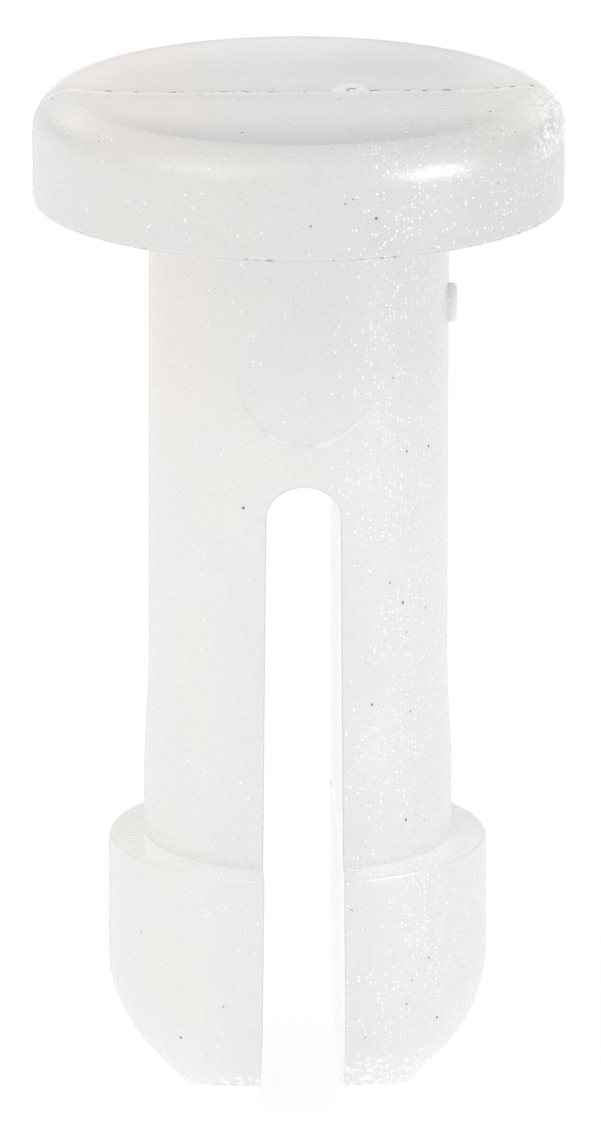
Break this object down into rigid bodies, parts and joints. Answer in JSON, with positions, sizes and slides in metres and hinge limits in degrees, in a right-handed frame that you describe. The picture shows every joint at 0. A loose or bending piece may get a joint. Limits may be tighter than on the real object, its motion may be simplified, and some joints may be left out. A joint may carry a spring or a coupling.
{
  "type": "wall anchor",
  "caption": "Snap-in wall anchor in natural nylon, with a dished round head and a split shank whose barbed legs pinch together and spring open behind the wall.",
  "frame": {"origin": "on the anchor's axis, in the plane of the head's underside, which is the wall's face", "axes": "+Z along the axis out of the wall, from the tips to the head; +X across the slot, towards the right leg and the gate stub; +Y away from the front, along the slot"},
  "size_m": [0.0114, 0.0114, 0.0215],
  "materials": {
    "nylon": "satin"
  },
  "bodies": {
    "root": {"head": "nylon", "shank": "nylon"},
    "left_leg": {"leg_left": "nylon", "barb_left": "nylon"},
    "right_leg": {"leg_right": "nylon", "barb_right": "nylon"}
  },
  "joints": [
    {"name": "left_leg_pinch", "type": "hinge", "parent": "root", "child": "left_leg", "pos_m": [-0.0018, 0, -0.00639], "axis": [0, -1, 0], "range_deg": [0, 3.8], "stiffness_Nm_per_rad": 1.07},
    {"name": "right_leg_pinch", "type": "hinge", "parent": "root", "child": "right_leg", "pos_m": [0.0018, 0, -0.00639], "axis": [0, 1, 0], "range_deg": [0, 3.8], "stiffness_Nm_per_rad": 1.07}
  ]
}
